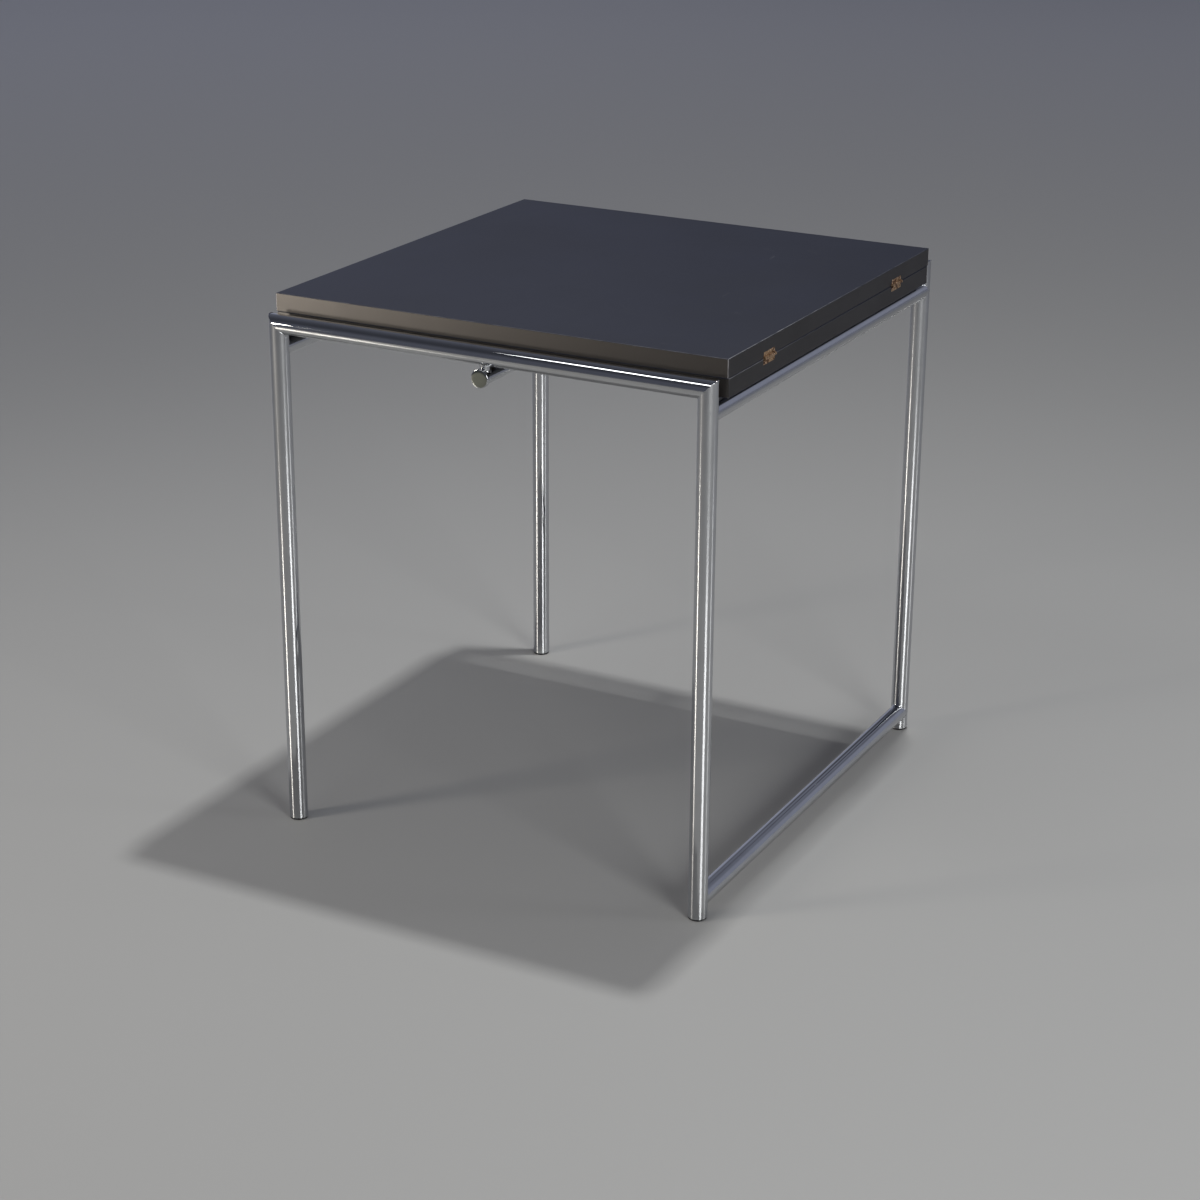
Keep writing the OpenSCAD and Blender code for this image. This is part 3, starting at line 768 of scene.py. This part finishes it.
def knob_profile(settings, radius, thickness, socket):
    """Radius and depth along the knob's outline: a face whose depth grows with a power of the
    radius, a round rim that takes up its slope, a straight side, a small rounded back edge, the
    flat back in to the shaft's socket, and the socket, half the knob deep.
    """
    rim = settings.rim
    back = rim / 2
    slope = math.atan(CROWN_POWER * settings.crown / radius)
    flat = radius - rim * (1 - math.sin(slope))
    share = np.linspace(0.0, 1.0, FACE_STEPS)
    face = np.stack([flat * share, settings.crown * share ** CROWN_POWER], axis=1)
    turn = np.linspace(slope, FULL_TURN / 4, RIM_STEPS)[1:]
    rim_arc = np.stack([flat + rim * (np.sin(turn) - math.sin(slope)),
                        settings.crown + rim * (math.cos(slope) - np.cos(turn))], axis=1)
    back_arc = np.stack([radius - back + back * np.cos(turn),
                         thickness - back + back * np.sin(turn)], axis=1)
    start_of_back = np.array([[radius, thickness - back]])
    socket_rim = np.array([[socket, thickness]])
    socket_end = np.array([[socket, thickness / 2], [0.0, thickness / 2]])
    return np.concatenate([face, rim_arc, start_of_back, back_arc, socket_rim, socket_end])


def turned_knob(settings):
    """Points and faces of the knob: its outline, carried round the shaft's axis. The outline's
    two ends lie on that axis, and fans of triangles close the rings next to them.
    """
    low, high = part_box("lock_knob")
    centre = (low + high) / 2
    profile = knob_profile(settings, (high.x - low.x) / 2, high.y - low.y,
                           span("lock_shaft").x / 2 + SOCKET_GAP)
    a = turns(settings.steps_round)
    radius, depth = profile[1:-1, 0][:, None], profile[1:-1, 1][:, None]
    ring = np.stack([centre.x + radius * np.cos(a), low.y + depth + 0 * a,
                     centre.z + radius * np.sin(a)], axis=-1)
    poles = np.array([[centre.x, low.y + profile[0, 1], centre.z],
                      [centre.x, low.y + profile[-1, 1], centre.z]])
    points = np.concatenate([ring.reshape(-1, 3), poles])
    here = np.arange(len(a))
    after = (here + 1) % len(a)
    last = (len(ring) - 1) * len(a)
    front_pole = np.full(len(a), len(ring) * len(a))
    faces = grid_faces(len(ring), len(a)).tolist()
    faces += np.stack([front_pole, after, here], axis=1).tolist()
    faces += np.stack([front_pole + 1, last + here, last + after], axis=1).tolist()
    return points, faces


# Operators

class TABLE_OT_polish_tubes(bpy.types.Operator):
    """Gives the tubes, rails, legs and hangers their polished chrome"""

    bl_idname = "flip_table.polish_tubes"
    bl_label = "Polish tubes"

    def execute(self, context):
        paint(TUBES, chrome_finish(context.scene.table_finishes.chrome))
        return {"FINISHED"}


class TABLE_OT_weld_frame(bpy.types.Operator):
    """Adds the polished welds at every cope, mitre and hanger, and the ridges on the mitres"""

    bl_idname = "flip_table.weld_frame"
    bl_label = "Weld frame"

    def execute(self, context):
        settings = context.scene.table_welds
        chrome = chrome_finish(context.scene.table_finishes.chrome)
        seams = {}
        for end, leg_y in (("front", -LEG_Y), ("rear", LEG_Y)):
            seams[f"weld_side_rail_left_{end}"] = cope_weld(-LEG_X, leg_y, SIDE_RAIL_Z, settings)
            seams[f"weld_side_rail_right_{end}"] = cope_weld(LEG_X, leg_y, SIDE_RAIL_Z, settings)
            seams[f"weld_floor_bar_{end}"] = cope_weld(LEG_X, leg_y, FLOOR_BAR_Z, settings)
            seams[f"weld_corner_{end}_left"] = mitre_weld(-1.0, leg_y, settings)
            seams[f"weld_corner_{end}_right"] = mitre_weld(1.0, leg_y, settings)
            seams[f"ridge_corner_{end}_left"] = mitre_ridge(-1.0, leg_y, settings)
            seams[f"ridge_corner_{end}_right"] = mitre_ridge(1.0, leg_y, settings)
            seams[f"weld_hanger_{end}_top"] = hanger_weld(leg_y, settings, at_rail=True)
            seams[f"weld_hanger_{end}_foot"] = hanger_weld(leg_y, settings, at_rail=False)
        for name, points in seams.items():
            faces = grid_faces(points.shape[0], points.shape[1], closed_rows=True).tolist()
            solid_piece(name, points, faces, chrome, "frame")
        return {"FINISHED"}


class TABLE_OT_dress_leaves(bpy.types.Operator):
    """Gives both leaves their laminate, edge banding and chipboard"""

    bl_idname = "flip_table.dress_leaves"
    bl_label = "Dress leaves"

    def execute(self, context):
        colours = context.scene.table_finishes
        paint(FACES, laminate_finish(colours.laminate, colours.pale_marks_and_highlight))
        paint(EDGINGS, edging_finish(colours.edging, colours.pale_marks_and_highlight))
        paint(CORES, board_finish(colours.board))
        return {"FINISHED"}


class TABLE_OT_age_hinges(bpy.types.Operator):
    """Gives the hinges, their pins and screws their aged brass"""

    bl_idname = "flip_table.age_hinges"
    bl_label = "Age hinges"

    def execute(self, context):
        colours = context.scene.table_finishes
        paint(BRASS_PARTS, brass_finish(colours.brass, colours.tarnish, colours.rubbed_and_glint))
        return {"FINISHED"}


class TABLE_OT_turn_knob(bpy.types.Operator):
    """Turns the knob with its crowned face and rounded rim, in place of the plain one"""

    bl_idname = "flip_table.turn_knob"
    bl_label = "Turn knob"

    def execute(self, context):
        points, faces = turned_knob(context.scene.table_knob)
        colours = context.scene.table_finishes
        worn = chrome_finish(colours.chrome, tuple(colours.knob))
        knob = solid_piece("knob", points, faces, worn, "lock")
        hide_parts("lock_knob")
        return {"FINISHED"}


class TABLE_OT_finish_small_parts(bpy.types.Operator):
    """Gives the glides, strips, bushes, cams, shaft and studs their plastic and steel"""

    bl_idname = "flip_table.finish_small_parts"
    bl_label = "Finish small parts"

    def execute(self, context):
        colours = context.scene.table_finishes
        paint(BLACK_PARTS, plastic_finish("black_plastic", colours.plastic, PLASTIC_ROUGHNESS))
        paint(NYLON_PARTS, plastic_finish("natural_nylon", colours.nylon, NYLON_ROUGHNESS))
        paint(STEEL_PARTS, steel_finish(colours.steel))
        return {"FINISHED"}


class TABLE_OT_set_studio(bpy.types.Operator):
    """Lays the floor and sets the lamps, the surroundings and the camera"""

    bl_idname = "flip_table.set_studio"
    bl_label = "Set studio"

    def execute(self, context):
        settings = context.scene.table_studio
        lay_floor(settings)
        hang_lamps()
        surround(settings)
        stand_camera(context, settings)
        context.scene.view_settings.view_transform = "Standard"
        return {"FINISHED"}


# Studio pieces

def lay_floor(settings):
    """A large round floor. The chrome sees the lamps in its soft gloss, and the camera sees it
    nearly matte, so that no lamp glares on it.
    """
    a = turns(FLOOR_STEPS)
    edge = np.stack([settings.floor_radius * np.cos(a), settings.floor_radius * np.sin(a), 0 * a],
                    axis=1)
    mesh = bpy.data.meshes.new("floor")
    mesh.from_pydata(edge.tolist(), [], [list(range(len(a)))])
    floor = bpy.data.objects.new("floor", mesh)
    bpy.context.scene.collection.objects.link(floor)
    sealed = Finish("studio_floor")
    away = sealed.add("ShaderNodeVectorMath")
    away.operation = "LENGTH"
    sealed.link(sealed.place, away.inputs[0])
    far = sealed.band(away.outputs["Value"], FLOOR_FADE)
    sealed.colour(sealed.blend(far, settings.floor, settings.far_floor))
    seen = sealed.add("ShaderNodeLightPath").outputs["Is Camera Ray"]
    sealed.rough(sealed.band(seen, (0.0, 1.0), FLOOR_ROUGHNESS))
    sealed.set(sealed.shader.inputs["Specular IOR Level"],
               sealed.band(seen, (0.0, 1.0), FLOOR_SPECULAR))
    mesh.materials.append(sealed.material)


def softbox(name, place, aim, width, height, radiance, colour):
    """A rectangular lamp of an even radiance, which the camera doesn't see itself."""
    data = bpy.data.lights.new(name, "AREA")
    data.shape = "RECTANGLE"
    data.size = width
    data.size_y = height
    data.color = colour
    data.energy = radiance * math.pi * width * height
    lamp = bpy.data.objects.new(name, data)
    lamp.location = place
    towards = Vector(aim) - Vector(place)
    lamp.rotation_euler = towards.to_track_quat("-Z", "Y").to_euler()
    lamp.visible_camera = False
    bpy.context.scene.collection.objects.link(lamp)
    return lamp


def hang_lamps():
    """A ceiling lamp that throws the shadow, a long one in front that lines the rails, three
    standing ones round the table, which line the legs by way of the floor's gloss, and a low one
    on the left that lights nothing but the edges of the leaves.
    """
    lamps = {name: softbox(name, **facts) for name, facts in LAMPS.items()}
    edges = bpy.data.collections.new("leaf_edges")
    for name in EDGINGS:
        edges.objects.link(NODES[name])
    lamps[EDGE_LAMP].light_linking.receiver_collection = edges


def surround(settings):
    """A quiet room: even walls, lighter behind the table and towards its left, under a darker
    ceiling, with a wide dark gap in the wall behind the table.
    """
    world = bpy.data.worlds.new("studio")
    bpy.context.scene.world = world
    world.use_nodes = True
    room = Shading(world.node_tree)
    direction = room.add("ShaderNodeSeparateXYZ")
    room.link(room.add("ShaderNodeTexCoord").outputs["Generated"], direction.inputs[0])
    part = {name: room.band(direction.outputs[axis], source, target)
            for name, (axis, source, target) in ROOM.items()}
    beside = room.math("MAXIMUM", part["left_of_gap"], part["right_of_gap"])
    elsewhere = room.math("MAXIMUM", part["in_front"], part["over_gap"])
    gap = room.band(room.math("MAXIMUM", beside, elsewhere), (0.0, 1.0), (GAP_LEVEL, 1.0))
    level = room.math("MULTIPLY", room.math("MULTIPLY", part["height"], part["behind"]),
                      room.math("MULTIPLY", part["lit_side"], gap))
    background = room.add("ShaderNodeBackground")
    background.inputs["Color"].default_value = (*settings.walls, 1.0)
    room.link(level, background.inputs["Strength"])
    output = room.add("ShaderNodeOutputWorld")
    room.link(background.outputs[0], output.inputs[0])


def stand_camera(context, settings):
    """The camera looks along its yaw and pitch, and is then rolled about that line."""
    yaw, pitch, roll = settings.camera_yaw, settings.camera_pitch, settings.camera_roll
    ahead = Vector((math.sin(yaw) * math.cos(pitch), math.cos(yaw) * math.cos(pitch),
                    -math.sin(pitch)))
    level = Vector((math.cos(yaw), -math.sin(yaw), 0.0))
    upright = level.cross(ahead)
    right = level * math.cos(roll) + upright * math.sin(roll)
    up = upright * math.cos(roll) - level * math.sin(roll)
    data = bpy.data.cameras.new("camera")
    data.lens = settings.lens
    data.sensor_width = SENSOR_WIDTH
    data.clip_start = CLIP_START
    data.clip_end = CLIP_END
    camera = bpy.data.objects.new("camera", data)
    turn = Matrix((right, up, -ahead)).transposed().to_4x4()
    camera.matrix_world = Matrix.Translation(settings.camera_place) @ turn
    context.scene.collection.objects.link(camera)
    context.scene.camera = camera


# Add-on

OPERATORS = [TABLE_OT_polish_tubes, TABLE_OT_weld_frame, TABLE_OT_dress_leaves,
             TABLE_OT_age_hinges, TABLE_OT_turn_knob, TABLE_OT_finish_small_parts,
             TABLE_OT_set_studio]
SETTINGS = {"table_finishes": TableFinishes, "table_welds": TableWelds,
            "table_knob": TableKnob, "table_studio": TableStudio}


class TABLE_PT_looks(bpy.types.Panel):
    """Lists the table's operators and settings"""

    bl_idname = "TABLE_PT_looks"
    bl_label = "Flip top side table"
    bl_space_type = "VIEW_3D"
    bl_region_type = "UI"
    bl_category = "Table"

    def draw(self, context):
        for operator in OPERATORS:
            self.layout.operator(operator.bl_idname)
        for name, group in SETTINGS.items():
            box = self.layout.box()
            for key in group.__annotations__:
                box.prop(getattr(context.scene, name), key)


def register():
    for name, group in SETTINGS.items():
        bpy.utils.register_class(group)
        setattr(bpy.types.Scene, name, PointerProperty(type=group))
    for operator in OPERATORS:
        bpy.utils.register_class(operator)
    bpy.utils.register_class(TABLE_PT_looks)


def unregister():
    bpy.utils.unregister_class(TABLE_PT_looks)
    for operator in reversed(OPERATORS):
        bpy.utils.unregister_class(operator)
    for name, group in reversed(SETTINGS.items()):
        delattr(bpy.types.Scene, name)
        bpy.utils.unregister_class(group)


def main():
    """Registers the add-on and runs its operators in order."""
    register()
    bpy.ops.flip_table.polish_tubes()
    bpy.ops.flip_table.weld_frame()
    bpy.ops.flip_table.dress_leaves()
    bpy.ops.flip_table.age_hinges()
    bpy.ops.flip_table.turn_knob()
    bpy.ops.flip_table.finish_small_parts()
    bpy.ops.flip_table.set_studio()


if __name__ == "__main__":
    main()
